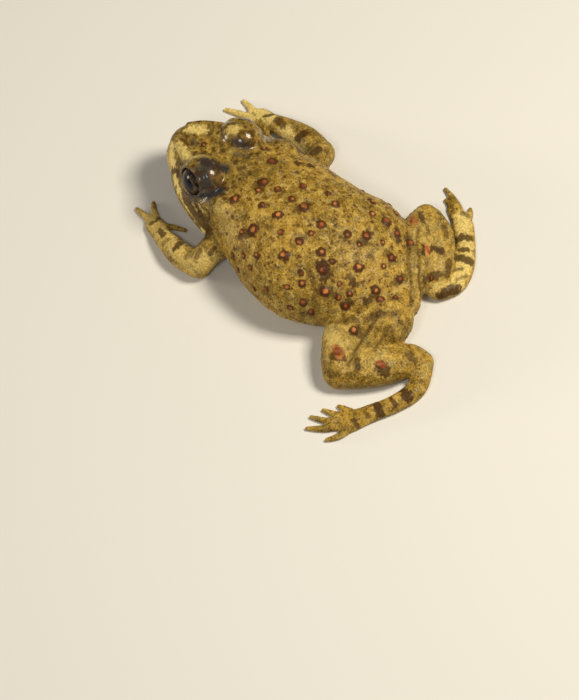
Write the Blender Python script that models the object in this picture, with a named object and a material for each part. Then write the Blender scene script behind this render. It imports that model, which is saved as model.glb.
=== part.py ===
"""A red-spotted toad at life size, resting flat with its legs folded beside it.

The toad faces -Y with its left side towards +X, and the floor is z = 0.
Shapes are made in millimetres and brought to metres at the end.
The flesh is one body, remeshed and then parted into its named nodes by thin cuts.
"""

import math
import random

import bmesh
import bpy
from mathutils import Matrix, Vector
from mathutils.bvhtree import BVHTree

# Scale and spacing
METRES = 0.001
GAP = 0.3
VOXEL = 0.3
SMOOTH_ROUNDS = 5
FLESH_TRIANGLES = 7000

# Torso and head from snout to vent: place along y, side step of the middle,
# half width, top, bottom and the height of the widest line
BODY_STATIONS = (
    (-27.5, 0.0, 1.6, 10.9, 7.4, 8.9),
    (-26.4, 0.0, 3.6, 12.1, 5.9, 7.6),
    (-24.0, 0.0, 5.6, 13.1, 4.7, 7.2),
    (-20.5, 0.0, 8.2, 14.0, 3.7, 6.9),
    (-16.5, 0.0, 10.0, 14.6, 3.0, 6.8),
    (-12.0, 0.0, 11.3, 15.0, 2.4, 6.7),
    (-8.5, 0.1, 11.4, 15.4, 1.8, 6.6),
    (-4.0, 0.4, 12.8, 16.1, 0.9, 6.4),
    (1.0, 1.4, 13.8, 16.5, 0.1, 6.1),
    (7.0, 1.7, 14.5, 16.3, -0.4, 5.8),
    (12.0, 0.8, 14.7, 15.2, -0.4, 5.6),
    (17.0, 0.0, 12.8, 13.5, -0.4, 5.4),
    (21.5, 0.0, 9.3, 11.4, -0.2, 5.2),
    (25.5, 0.1, 6.0, 8.8, 1.0, 5.0),
    (28.6, 0.4, 2.4, 6.4, 3.0, 4.7),
)
BODY_ROUNDNESS = 2.25

# Eyes and their lids
EYE_CENTRE = (6.3, -16.8, 12.65)
EYE_RADIUS = 3.0
LID_CENTRE = (5.2, -16.3, 12.5)
LID_RADII = (4.0, 4.5, 4.1)
EYE_LOOKS = (0.90, -0.30, 0.28)
LID_OPENING = (2.85, 2.55)

# Head forms
PAROTOID_CENTRE = (7.7, -8.6, 12.6)
PAROTOID_RADII = (2.7, 3.1, 2.0)
CANTHUS = ((4.9, -20.0, 13.3, 1.1), (3.2, -23.4, 12.9, 1.0), (1.9, -25.7, 12.0, 0.85))
NOSTRIL_CENTRE = (1.7, -26.1, 11.2)
NOSTRIL_RADIUS = 0.38

# Limbs as routes: x, y, z, half width and half height at each point
UPPER_ARM_L = ((8.0, -7.8, 5.2, 3.0, 3.2), (12.4, -8.6, 4.3, 2.5, 2.8), (15.7, -9.2, 2.9, 2.4, 2.7))
FOREARM_L = ((15.7, -9.1, 2.5, 2.4, 2.7), (16.0, -13.0, 2.3, 2.3, 2.4),
             (15.1, -16.8, 1.8, 1.9, 1.9), (14.4, -19.2, 1.3, 1.6, 1.4))
PALM_L = ((14.3, -18.9, 1.2, 1.6, 1.3), (13.2, -21.4, 0.8, 1.9, 0.95), (12.5, -22.7, 0.6, 1.4, 0.8))
UPPER_ARM_R = ((-8.0, -5.6, 5.2, 3.2, 3.2), (-13.0, -5.9, 4.3, 2.7, 2.8), (-17.2, -7.0, 2.9, 2.4, 2.7))
FOREARM_R = ((-17.3, -7.0, 2.5, 2.4, 2.7), (-18.3, -11.5, 2.3, 2.3, 2.4),
             (-18.1, -16.0, 1.8, 1.9, 1.9), (-17.7, -19.2, 1.3, 1.6, 1.4))
PALM_R = ((-17.8, -18.9, 1.2, 1.6, 1.3), (-17.3, -21.7, 0.8, 2.1, 0.95), (-16.8, -23.0, 0.6, 1.5, 0.8))
THIGH_L = ((4.9, 24.6, 4.6, 6.3, 5.0), (10.8, 22.6, 4.2, 5.0, 4.7), (15.5, 23.6, 3.3, 3.3, 3.7),
           (18.0, 25.0, 2.7, 2.5, 3.1))
SHANK_L = ((18.0, 25.6, 2.5, 2.6, 3.0), (15.2, 27.9, 2.8, 3.5, 3.2), (10.9, 31.0, 2.7, 3.9, 3.0),
           (7.1, 33.3, 2.1, 3.2, 2.3), (6.0, 35.1, 1.6, 2.5, 1.8))
FOOT_L = ((6.6, 36.0, 1.4, 2.0, 1.6), (10.8, 37.9, 1.2, 1.9, 1.5), (15.6, 36.9, 1.1, 1.7, 1.35),
          (20.0, 34.7, 0.9, 1.8, 1.15), (23.6, 32.9, 0.6, 2.2, 0.85))
THIGH_R = ((-4.6, 22.0, 4.8, 5.2, 5.2), (-10.4, 19.9, 4.2, 4.2, 4.7), (-14.9, 17.6, 3.4, 3.3, 3.8),
           (-18.2, 16.6, 2.7, 2.5, 3.1))
SHANK_R = ((-18.4, 17.6, 2.5, 2.6, 3.0), (-16.2, 20.4, 2.8, 3.5, 3.2), (-11.9, 24.1, 2.7, 3.6, 3.0),
           (-8.7, 26.5, 2.1, 2.7, 2.3), (-8.2, 27.6, 1.6, 2.0, 1.8))
FOOT_R = ((-8.3, 27.9, 1.4, 1.9, 1.6), (-11.4, 29.2, 1.2, 1.9, 1.5), (-15.0, 28.2, 1.1, 1.9, 1.35),
          (-18.6, 25.7, 0.9, 1.9, 1.15), (-22.4, 22.0, 0.6, 2.1, 0.85))

# Digits: root, knuckle and tip on the floor, with the root's half width
FINGERS_L = (
    ((12.4, -22.4), (12.6, -24.4), (12.3, -26.6), 0.72),
    ((11.9, -22.0), (10.9, -23.6), (9.3, -25.1), 0.72),
    ((12.4, -20.8), (11.3, -18.9), (10.3, -16.6), 0.66),
    ((13.6, -19.6), (13.0, -17.9), (12.6, -15.9), 0.66),
)
FINGERS_R = (
    ((-17.3, -22.4), (-18.0, -24.4), (-18.4, -26.6), 0.72),
    ((-16.3, -22.5), (-15.7, -25.3), (-14.8, -27.9), 0.72),
    ((-16.0, -21.6), (-14.5, -22.0), (-13.0, -22.7), 0.66),
    ((-16.4, -20.2), (-15.5, -18.7), (-14.4, -17.1), 0.66),
)
TOES_L = (
    ((21.6, 32.4), (22.0, 30.6), (22.2, 29.0), 0.75),
    ((22.9, 32.0), (24.0, 29.8), (24.6, 27.4), 0.75),
    ((24.2, 32.0), (26.1, 29.4), (27.2, 26.6), 0.75),
    ((24.8, 32.6), (27.6, 30.2), (29.6, 27.6), 0.8),
    ((24.4, 33.9), (27.3, 33.2), (29.3, 31.9), 0.75),
)
TOES_R = (
    ((-22.2, 20.6), (-22.5, 19.8), (-22.7, 19.2), 0.7),
    ((-22.7, 20.3), (-23.3, 18.7), (-23.7, 17.6), 0.72),
    ((-23.3, 20.3), (-24.4, 17.8), (-24.9, 15.9), 0.75),
    ((-23.8, 20.9), (-25.6, 17.7), (-26.8, 14.3), 0.8),
    ((-23.7, 21.9), (-25.0, 21.5), (-26.3, 20.6), 0.75),
)
DIGIT_TIP = 0.45
DIGIT_HEIGHT = 0.55

# Thin upright cuts between the nodes: two points in plan and the top of the cut
CUTS = (
    ("neck", (-12.7, -8.0), (12.3, -8.0), 30.0),
    ("shoulder_l", (12.3, -13.5), (12.3, -4.2), 9.0),
    ("shoulder_r", (-12.7, -11.0), (-12.7, -2.0), 9.0),
    ("elbow_l", (12.9, -12.0), (19.6, -6.6), 9.0),
    ("elbow_r", (-14.5, -10.2), (-21.0, -3.9), 9.0),
    ("wrist_l", (12.0, -18.6), (17.2, -19.6), 9.0),
    ("wrist_r", (-15.2, -19.2), (-20.4, -19.4), 9.0),
    ("hip_l", (13.6, 15.6), (0.3, 31.9), 14.0),
    ("hip_r", (-14.3, 14.4), (0.1, 29.8), 14.0),
    ("knee_l", (22.6, 24.6), (0.9, 31.6), 12.0),
    ("knee_r", (-21.6, 14.6), (-2.0, 28.8), 12.0),
    ("ankle_l", (12.4, 35.0), (8.6, 40.6), 9.0),
    ("ankle_r", (-14.3, 25.7), (-8.3, 31.6), 9.0),
    ("instep_r", (-21.6, 20.7), (-12.8, 26.95), 9.0),
)

# The mouth: its height at the snout and at the corners, its reach back and its groove
MOUTH_FRONT = 7.3
MOUTH_CORNER = 6.6
MOUTH_BACK = -11.0
MOUTH_FADE = 1.2
GROOVE_DEPTH = 0.4
GROOVE_WIDTH = 0.32
LIP_SWELL = 0.22
LIP_OFFSET = 0.95

# How the photograph looks at the toad: degrees round from -Y and above the floor,
# pixels in a millimetre, and the pixel of the point on the floor under mid body
VIEW_ROUND = 129.3
VIEW_HEIGHT = 57.0
PIXELS = 5.48
MID_BODY_PIXEL = (292.0, 243.5)

# Warts by the pixels where they show, large, middling and small, and their radii
LARGE_WARTS = (
    (278, 216), (253, 230), (235, 200), (263, 183), (321, 225), (366, 236), (386, 222),
    (324, 292), (304, 208), (273, 162), (322, 270), (284, 256), (321, 253),
)
MIDDLING_WARTS = (
    (299, 242), (292, 200), (278, 190), (303, 187), (302, 284), (303, 303), (358, 268),
    (375, 290), (380, 300), (399, 280), (347, 235), (397, 234), (391, 258), (372, 202),
    (335, 205), (345, 306), (409, 243), (414, 221), (428, 250), (353, 331), (380, 364),
    (337, 351), (430, 278),
)
SMALL_WARTS = (
    (262, 206), (258, 191), (242, 232), (233, 256), (244, 256), (257, 256), (372, 214),
    (359, 245), (383, 267), (328, 194), (339, 284), (349, 294), (382, 243), (301, 273),
    (332, 262), (311, 234), (281, 233), (338, 298), (395, 298), (264, 149), (204, 145),
)
WART_RADII = (1.05, 0.85, 0.65)
WART_SIDES = 7
WART_PROFILE = ((-0.7, 1.0), (0.05, 0.97), (0.45, 0.5))

# Further small warts low on the flanks, which the photograph doesn't show
FLANK_WARTS = 7
FLANK_WART_HEIGHTS = (5, 25)

# A point inside the flesh of each node
NODE_POINTS = {
    "head": (0.0, -17.0, 8.0),
    "torso": (0.5, 5.0, 8.0),
    "upper_arm_left": (14.2, -8.7, 3.0),
    "forearm_left": FOREARM_L[1][:3],
    "hand_left": PALM_L[1][:3],
    "upper_arm_right": (-15.0, -6.2, 3.0),
    "forearm_right": FOREARM_R[1][:3],
    "hand_right": PALM_R[1][:3],
    "thigh_left": THIGH_L[2][:3],
    "shank_left": SHANK_L[2][:3],
    "foot_left": FOOT_L[2][:3],
    "thigh_right": THIGH_R[1][:3],
    "shank_right": SHANK_R[2][:3],
    "foot_right": FOOT_R[2][:3],
}

# Finishes: colour and roughness
SKIN_FINISHES = {
    "head": ("skin_head", (0.42, 0.32, 0.14), 0.45),
    "torso": ("skin_body", (0.40, 0.31, 0.13), 0.5),
    "arm": ("skin_arm", (0.50, 0.38, 0.18), 0.45),
    "leg": ("skin_leg", (0.46, 0.34, 0.15), 0.5),
    "eye": ("eye", (0.03, 0.03, 0.04), 0.08),
}


def spline(rows, place):
    """The row at a place from 0 to the last index, on a smooth curve through all rows."""
    index = min(int(place), len(rows) - 2)
    share = place - index
    before = rows[max(index - 1, 0)]
    here = rows[index]
    there = rows[index + 1]
    after = rows[min(index + 2, len(rows) - 1)]
    result = []
    for p0, p1, p2, p3 in zip(before, here, there, after):
        slope_here = (p2 - p0) * 0.5
        slope_there = (p3 - p1) * 0.5
        square = share * share
        cube = square * share
        result.append(
            (2 * cube - 3 * square + 1) * p1
            + (cube - 2 * square + share) * slope_here
            + (-2 * cube + 3 * square) * p2
            + (cube - square) * slope_there
        )
    return result


def power(value, exponent):
    return math.copysign(abs(value) ** exponent, value)


def link(mesh, name):
    thing = bpy.data.objects.new(name, mesh)
    bpy.context.scene.collection.objects.link(thing)
    return thing


def loft(name, rings):
    """A closed skin over a row of rings, with a point at the middle of each end."""
    bm = bmesh.new()
    rows = [[bm.verts.new(point) for point in ring] for ring in rings]
    for row, following in zip(rows, rows[1:]):
        for i, corner in enumerate(row):
            j = (i + 1) % len(row)
            bm.faces.new((corner, row[j], following[j], following[i]))
    for row in (rows[0], rows[-1]):
        middle = bm.verts.new(sum((v.co for v in row), Vector()) / len(row))
        for i, corner in enumerate(row):
            bm.faces.new((corner, row[(i + 1) % len(row)], middle))
    bmesh.ops.recalc_face_normals(bm, faces=bm.faces)
    mesh = bpy.data.meshes.new(name)
    bm.to_mesh(mesh)
    bm.free()
    return link(mesh, name)


def body_ring(row, sides):
    along, middle, half_width, top, bottom, widest = row
    ring = []
    for i in range(sides):
        angle = 2 * math.pi * i / sides
        across = power(math.cos(angle), 2 / BODY_ROUNDNESS)
        up = power(math.sin(angle), 2 / BODY_ROUNDNESS)
        height = (top - widest) if up > 0 else (widest - bottom)
        ring.append(Vector((middle + half_width * across, along, widest + height * up)))
    return ring


def trunk():
    """Head and torso in one piece."""
    steps = 6 * (len(BODY_STATIONS) - 1)
    rings = []
    for i in range(steps + 1):
        rings.append(body_ring(spline(BODY_STATIONS, i / 6), 48))
    return loft("trunk", rings)


def tube(name, route, sides=20, steps=6):
    """A limb along its route, wide and high as each point says, with round ends."""
    rows = [spline(route, i / steps) for i in range(steps * (len(route) - 1) + 1)]
    places = [Vector(row[:3]) for row in rows]
    ahead = [(places[min(i + 1, len(places) - 1)] - places[max(i - 1, 0)]).normalized()
             for i in range(len(places))]
    rings = []
    caps = 4
    for end, order in ((0, range(caps, 0, -1)), (-1, range(1, caps + 1))):
        if end == -1:
            rings.extend(section(places[i], ahead[i], rows[i][3], rows[i][4], sides)
                         for i in range(len(rows)))
        outward = -ahead[0] if end == 0 else ahead[-1]
        for step in order:
            turn = 0.5 * math.pi * step / (caps + 0.35)
            half_width = rows[end][3]
            place = places[end] + outward * half_width * math.sin(turn)
            shrink = math.cos(turn)
            rings.append(section(place, ahead[end], half_width * shrink, rows[end][4] * shrink, sides))
    return loft(name, rings)


def section(place, ahead, half_width, half_height, sides):
    across = ahead.cross(Vector((0, 0, 1))).normalized()
    up = across.cross(ahead).normalized()
    ring = []
    for i in range(sides):
        angle = 2 * math.pi * i / sides
        ring.append(place + across * half_width * math.cos(angle) + up * half_height * math.sin(angle))
    return ring


def digit(name, root, knuckle, tip, half_width):
    rows = (
        (*root, DIGIT_HEIGHT, half_width, half_width),
        (*knuckle, DIGIT_HEIGHT * 0.95, half_width * 0.9, half_width * 0.95),
        (*tip, DIGIT_HEIGHT * 0.75, DIGIT_TIP, DIGIT_TIP),
    )
    return tube(name, rows, sides=14, steps=4)


def ellipsoid(name, centre, radii, segments=32, rings=20):
    bm = bmesh.new()
    bmesh.ops.create_uvsphere(bm, u_segments=segments, v_segments=rings, radius=1.0)
    bmesh.ops.scale(bm, vec=Vector(radii), verts=bm.verts)
    bmesh.ops.translate(bm, vec=Vector(centre), verts=bm.verts)
    mesh = bpy.data.meshes.new(name)
    bm.to_mesh(mesh)
    bm.free()
    return link(mesh, name)


def mirrored(point):
    return (-point[0], point[1], point[2])


def both_sides(point):
    return (("l", tuple(point)), ("r", mirrored(point)))


def flesh_pieces():
    pieces = [trunk()]
    for side, centre in both_sides(LID_CENTRE):
        pieces.append(ellipsoid("lid_" + side, centre, LID_RADII))
    for side, centre in both_sides(PAROTOID_CENTRE):
        pieces.append(ellipsoid("parotoid_" + side, centre, PAROTOID_RADII))
    for side in (1, -1):
        route = [(side * x, y, z, r, r) for x, y, z, r in CANTHUS]
        pieces.append(tube("canthus", route, sides=12, steps=4))
    limbs = (UPPER_ARM_L, FOREARM_L, PALM_L, UPPER_ARM_R, FOREARM_R, PALM_R,
             THIGH_L, SHANK_L, FOOT_L, THIGH_R, SHANK_R, FOOT_R)
    for route in limbs:
        pieces.append(tube("limb", route))
    for digits in (FINGERS_L, FINGERS_R, TOES_L, TOES_R):
        for root, knuckle, tip, half_width in digits:
            pieces.append(digit("digit", root, knuckle, tip, half_width))
    return pieces


def join(pieces, name):
    """All pieces' faces in one mesh."""
    bm = bmesh.new()
    for piece in pieces:
        bm.from_mesh(piece.data)
        bpy.data.objects.remove(piece)
    mesh = bpy.data.meshes.new(name)
    bm.to_mesh(mesh)
    bm.free()
    return link(mesh, name)


def apply_modifiers(thing):
    """The thing's mesh as its modifiers leave it."""
    graph = bpy.context.evaluated_depsgraph_get()
    graph.update()
    mesh = bpy.data.meshes.new_from_object(thing.evaluated_get(graph), depsgraph=graph)
    thing.modifiers.clear()
    thing.data = mesh
    return thing


def fuse(thing):
    """Makes one closed skin of all the pieces, with soft creases where they meet."""
    remesh = thing.modifiers.new("fuse", "REMESH")
    remesh.mode = "VOXEL"
    remesh.voxel_size = VOXEL
    smooth = thing.modifiers.new("smooth", "SMOOTH")
    smooth.factor = 0.5
    smooth.iterations = SMOOTH_ROUNDS
    return apply_modifiers(thing)


def ramp(value, start, end):
    """0 before start, 1 after end, smooth between."""
    share = min(max((value - start) / (end - start), 0.0), 1.0)
    return share * share * (3 - 2 * share)


def press_mouth(thing):
    """Draws the line of the mouth round the snout, between two rolled lips."""
    front = BODY_STATIONS[0][0]
    normals = [vert.normal.copy() for vert in thing.data.vertices]
    for vert, normal in zip(thing.data.vertices, normals):
        along = vert.co.y
        if along > MOUTH_BACK + MOUTH_FADE:
            continue
        share = (along - front) / (MOUTH_BACK - front)
        line = MOUTH_FRONT + (MOUTH_CORNER - MOUTH_FRONT) * share
        above = vert.co.z - line
        if abs(above) > 3 * LIP_OFFSET:
            continue
        fade = 1 - ramp(along, MOUTH_BACK - MOUTH_FADE, MOUTH_BACK + MOUTH_FADE)
        groove = GROOVE_DEPTH * math.exp(-(above / GROOVE_WIDTH) ** 2)
        lips = LIP_SWELL * math.exp(-((abs(above) - LIP_OFFSET) / (0.6 * LIP_OFFSET)) ** 2)
        outward = Vector((normal.x, normal.y, 0))
        vert.co += outward * (lips - groove) * fade


def thin_out(thing, triangles):
    now = sum(len(face.vertices) - 2 for face in thing.data.polygons)
    decimate = thing.modifiers.new("thin out", "DECIMATE")
    decimate.ratio = triangles / now
    decimate.use_collapse_triangulate = True
    return apply_modifiers(thing)


def combine(thing, others, operation):
    """Joins the others to the thing or takes their space out of it, all at once."""
    group = bpy.data.collections.new("others")
    for other in others:
        other.hide_render = True
        other.display_type = "WIRE"
        group.objects.link(other)
    boolean = thing.modifiers.new("combine", "BOOLEAN")
    boolean.operation = operation
    boolean.operand_type = "COLLECTION"
    boolean.solver = "EXACT"
    boolean.collection = group
    apply_modifiers(thing)
    for other in others:
        bpy.data.objects.remove(other)
    bpy.data.collections.remove(group)
    return thing


def box(name, low, high):
    bm = bmesh.new()
    bmesh.ops.create_cube(bm, size=1.0)
    size = Vector(high) - Vector(low)
    bmesh.ops.scale(bm, vec=size, verts=bm.verts)
    bmesh.ops.translate(bm, vec=(Vector(high) + Vector(low)) / 2, verts=bm.verts)
    mesh = bpy.data.meshes.new(name)
    bm.to_mesh(mesh)
    bm.free()
    return link(mesh, name)


def slab(name, start, end, top):
    """A thin upright wall between two points in plan."""
    along = Vector((end[0] - start[0], end[1] - start[1], 0))
    thing = box(name, (-along.length / 2, -GAP / 2, -1.5), (along.length / 2, GAP / 2, top))
    turn = Matrix.Rotation(math.atan2(along.y, along.x), 4, "Z")
    shift = Matrix.Translation(((start[0] + end[0]) / 2, (start[1] + end[1]) / 2, 0))
    thing.data.transform(shift @ turn)
    return thing


def eye_turn(side):
    """Turns +Z to where an eye looks."""
    looks = Vector((side * EYE_LOOKS[0], EYE_LOOKS[1], EYE_LOOKS[2])).normalized()
    return looks.to_track_quat("Z", "Y").to_matrix().to_4x4()


def opening(side):
    """The space between an eye's lids, an oval that widens outwards."""
    rings = []
    for out, grow in ((1.2, 0.95), (3.3, 1.0), (7.0, 1.2)):
        ring = []
        for i in range(20):
            angle = 2 * math.pi * i / 20
            ring.append(Vector((LID_OPENING[0] * grow * math.cos(angle),
                                LID_OPENING[1] * grow * math.sin(angle), out)))
        rings.append(ring)
    thing = loft("opening", rings)
    centre = Vector((side * EYE_CENTRE[0], EYE_CENTRE[1], EYE_CENTRE[2]))
    thing.data.transform(Matrix.Translation(centre) @ eye_turn(side))
    return thing


def head_cutters(flesh):
    """Sockets and lid openings for the eyes, and the nostrils, sunk at the skin."""
    cutters = []
    for side in (1, -1):
        centre = (side * EYE_CENTRE[0], EYE_CENTRE[1], EYE_CENTRE[2])
        socket = EYE_RADIUS + GAP
        cutters.append(ellipsoid("socket", centre, (socket, socket, socket), 20, 12))
        cutters.append(opening(side))
        near = Vector((side * NOSTRIL_CENTRE[0], NOSTRIL_CENTRE[1], NOSTRIL_CENTRE[2]))
        nostril = flesh.closest_point_on_mesh(near)[1]
        cutters.append(ellipsoid("nostril", nostril, (NOSTRIL_RADIUS,) * 3, 10, 8))
    return cutters


def view_axes():
    """The photograph's directions: to its right, up in it, and back to the camera."""
    turn = math.radians(VIEW_ROUND)
    height = math.radians(VIEW_HEIGHT)
    right = Vector((math.cos(turn), math.sin(turn), 0))
    back = Vector((math.sin(turn) * math.cos(height), -math.cos(turn) * math.cos(height), math.sin(height)))
    return right, back.cross(right), back


def under_pixel(tree, pixel):
    """The skin's place and normal where a pixel of the photograph shows it."""
    right, up, back = view_axes()
    start = right * ((pixel[0] - MID_BODY_PIXEL[0]) / PIXELS)
    start += up * ((MID_BODY_PIXEL[1] - pixel[1]) / PIXELS)
    place, normal, index, distance = tree.ray_cast(start + back * 100, -back)
    return place, normal


def wart(place, normal, radius, turn):
    """A low dome, its root sunk in the skin."""
    rings = []
    for out, wide in WART_PROFILE:
        ring = []
        for i in range(WART_SIDES):
            angle = turn + 2 * math.pi * i / WART_SIDES
            ring.append(Vector((wide * math.cos(angle), wide * math.sin(angle), out)) * radius)
        rings.append(ring)
    thing = loft("wart", rings)
    thing.data.transform(Matrix.Translation(place) @ normal.to_track_quat("Z", "Y").to_matrix().to_4x4())
    return thing


def warts(flesh):
    rng = random.Random(8)
    bm = bmesh.new()
    bm.from_mesh(flesh.data)
    tree = BVHTree.FromBMesh(bm)
    bm.free()
    spots = []
    for pixels, radius in zip((LARGE_WARTS, MIDDLING_WARTS, SMALL_WARTS), WART_RADII):
        for pixel in pixels:
            spots.append((*under_pixel(tree, pixel), radius * rng.uniform(0.9, 1.1)))
    for side in (1, -1):
        for i in range(FLANK_WARTS):
            along = -2 + 18 * (i + rng.uniform(0.2, 0.8)) / FLANK_WARTS
            climb = math.radians(rng.uniform(*FLANK_WART_HEIGHTS))
            outward = Vector((side * math.cos(climb), 0, math.sin(climb)))
            place, normal, index, distance = tree.ray_cast(Vector((0.5, along, 6.0)), outward)
            spots.append((place, normal, WART_RADII[2] * rng.uniform(0.9, 1.15)))
    return [wart(place, normal, radius, rng.uniform(0, 1)) for place, normal, radius in spots]


def closed_surfaces(thing):
    """Each closed surface of the thing as a mesh of its own, with a tree to search it."""
    bm = bmesh.new()
    bm.from_mesh(thing.data)
    left = dict.fromkeys(bm.verts)
    surfaces = []
    while left:
        shell = [left.popitem()[0]]
        for vert in shell:
            for edge in vert.link_edges:
                other = edge.other_vert(vert)
                if other in left:
                    del left[other]
                    shell.append(other)
        piece = bmesh.new()
        copies = {vert: piece.verts.new(vert.co) for vert in shell}
        for face in dict.fromkeys(face for vert in shell for face in vert.link_faces):
            piece.faces.new([copies[vert] for vert in face.verts])
        piece.normal_update()
        mesh = bpy.data.meshes.new("surface")
        piece.to_mesh(mesh)
        surfaces.append((mesh, BVHTree.FromBMesh(piece)))
        piece.free()
    bm.free()
    return surfaces


def wall_distance(tree, point):
    """How far a point inside a closed surface is from its wall; endless outside it."""
    place, normal, index, distance = tree.find_nearest(Vector(point))
    return distance if (place - Vector(point)).dot(normal) > 0 else math.inf


def part_nodes(flesh):
    """One object for each node, found by the point that its flesh holds."""
    surfaces = closed_surfaces(flesh)
    nodes = []
    for name, point in NODE_POINTS.items():
        mesh, tree = min(surfaces, key=lambda pair: wall_distance(pair[1], point))
        if any(node.data == mesh for node in nodes):
            raise ValueError(name + " has no flesh of its own")
        mesh.name = name
        nodes.append(link(mesh, name))
    bpy.data.objects.remove(flesh)
    return nodes


def finish_of(name):
    if "arm" in name or "hand" in name:
        return SKIN_FINISHES["arm"]
    if name in ("head", "torso"):
        return SKIN_FINISHES[name]
    if "eye" in name:
        return SKIN_FINISHES["eye"]
    return SKIN_FINISHES["leg"]


def paint(thing):
    slot, colour, roughness = finish_of(thing.name)
    material = bpy.data.materials.get(slot) or bpy.data.materials.new(slot)
    material.use_nodes = True
    shader = material.node_tree.nodes["Principled BSDF"]
    shader.inputs["Base Color"].default_value = (*colour, 1.0)
    shader.inputs["Roughness"].default_value = roughness
    thing.data.materials.clear()
    thing.data.materials.append(material)


def place(things):
    """Brings everything to metres, over the middle of the floor, under one empty."""
    corners = [vert.co for thing in things for vert in thing.data.vertices]
    middle = Vector((
        (min(c.x for c in corners) + max(c.x for c in corners)) / 2,
        (min(c.y for c in corners) + max(c.y for c in corners)) / 2,
        0,
    ))
    toad = bpy.data.objects.new("toad", None)
    bpy.context.scene.collection.objects.link(toad)
    for thing in things:
        own = sum((vert.co for vert in thing.data.vertices), Vector()) / len(thing.data.vertices)
        thing.data.transform(Matrix.Scale(METRES, 4) @ Matrix.Translation(-own))
        thing.location = (own - middle) * METRES
        thing.parent = toad
        thing.data.shade_smooth()
        thing.data.set_sharp_from_angle(angle=math.radians(50))


def main():
    for thing in list(bpy.data.objects):
        bpy.data.objects.remove(thing)
    flesh = join(flesh_pieces(), "flesh")
    fuse(flesh)
    press_mouth(flesh)
    thin_out(flesh, FLESH_TRIANGLES)
    combine(flesh, warts(flesh), "UNION")
    bpy.context.view_layer.update()
    cutters = head_cutters(flesh)
    cutters.append(box("floor", (-60, -60, -20), (60, 80, 0)))
    cutters.extend(slab(*cut) for cut in CUTS)
    combine(flesh, cutters, "DIFFERENCE")
    things = part_nodes(flesh)
    for name, side in (("eye_left", 1), ("eye_right", -1)):
        centre = (side * EYE_CENTRE[0], EYE_CENTRE[1], EYE_CENTRE[2])
        things.append(ellipsoid(name, centre, (EYE_RADIUS,) * 3, 20, 12))
    for thing in things:
        paint(thing)
    place(things)


main()
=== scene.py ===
"""The looks of the red-spotted toad: one wet, warty skin over its solids, and its eyes.

Shapes are worked out in millimetres in the toad's own frame, where it faces -Y with
its left side towards +X and the floor is z = 0, and are brought to the solids' place
and to metres at the end.
"""

import math
import random

import bmesh
import bpy
import numpy as np
from mathutils import Matrix, Vector, noise
from mathutils.bvhtree import BVHTree
from mathutils.kdtree import KDTree


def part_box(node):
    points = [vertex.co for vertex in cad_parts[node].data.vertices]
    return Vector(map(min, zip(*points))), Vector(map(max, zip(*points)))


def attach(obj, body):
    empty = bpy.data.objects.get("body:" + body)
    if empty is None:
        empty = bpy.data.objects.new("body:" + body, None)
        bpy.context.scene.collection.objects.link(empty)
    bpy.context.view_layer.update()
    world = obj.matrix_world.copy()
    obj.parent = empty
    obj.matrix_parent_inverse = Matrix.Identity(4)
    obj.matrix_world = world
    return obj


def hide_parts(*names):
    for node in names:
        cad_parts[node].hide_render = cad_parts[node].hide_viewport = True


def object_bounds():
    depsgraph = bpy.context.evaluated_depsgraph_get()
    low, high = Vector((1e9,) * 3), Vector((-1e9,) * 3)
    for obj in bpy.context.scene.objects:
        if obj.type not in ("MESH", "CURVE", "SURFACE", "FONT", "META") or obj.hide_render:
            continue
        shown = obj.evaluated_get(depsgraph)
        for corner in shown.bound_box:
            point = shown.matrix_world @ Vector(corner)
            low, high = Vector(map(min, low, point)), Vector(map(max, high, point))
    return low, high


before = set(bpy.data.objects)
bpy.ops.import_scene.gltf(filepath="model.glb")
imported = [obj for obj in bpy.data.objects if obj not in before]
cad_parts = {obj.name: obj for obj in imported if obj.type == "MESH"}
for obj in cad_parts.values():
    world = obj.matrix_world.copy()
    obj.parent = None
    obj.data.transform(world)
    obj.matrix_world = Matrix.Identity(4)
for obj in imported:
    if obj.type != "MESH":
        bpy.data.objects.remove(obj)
cad_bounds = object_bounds()

# Scale, how finely the skin and its parts are made, what is cut off under the floor, and the
# margin kept to the solids' box
METRES = 0.001
FIRST_VOXEL = 0.24
LAST_VOXEL = 0.17
FIRST_SMOOTHING = 9
LAST_SMOOTHING = 3
SMOOTHING_FACTOR = 0.5
LIMB_FINENESS = (28, 8)
DIGIT_FINENESS = (16, 5)
CANTHUS_FINENESS = (12, 4)
LID_FINENESS = (48, 28)
NOSTRIL_FINENESS = (20, 12)
EYE_FINENESS = (96, 64)
BELOW_FLOOR = ((-60, -60, -20), (60, 80, 0))
BOX_MARGIN = 0.01

# Torso and head from snout to vent: place along y, side step of the middle,
# half width, top, bottom and the height of the widest line
BODY_STATIONS = (
    (-27.5, 0.0, 1.6, 10.9, 7.4, 8.9),
    (-26.4, 0.0, 3.6, 12.1, 5.9, 7.6),
    (-24.0, 0.0, 5.6, 13.1, 4.7, 7.2),
    (-20.5, 0.0, 8.2, 14.0, 3.7, 6.9),
    (-16.5, 0.0, 10.0, 14.6, 3.0, 6.8),
    (-12.0, 0.0, 11.3, 15.0, 2.4, 6.7),
    (-8.5, 0.1, 11.4, 15.4, 1.8, 6.6),
    (-4.0, 0.4, 12.8, 16.1, 0.9, 6.4),
    (1.0, 1.4, 13.8, 16.5, 0.1, 6.1),
    (7.0, 1.7, 14.5, 16.3, -0.4, 5.8),
    (12.0, 0.8, 14.7, 15.2, -0.4, 5.6),
    (17.0, 0.0, 12.8, 13.5, -0.4, 5.4),
    (21.5, 0.0, 9.3, 11.4, -0.2, 5.2),
    (25.5, 0.1, 6.0, 8.8, 1.0, 5.0),
    (28.6, 0.4, 2.4, 6.4, 3.0, 4.7),
)
BODY_ROUNDNESS = 2.25
BODY_SIDES = 64
BODY_STEPS = 6

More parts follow.
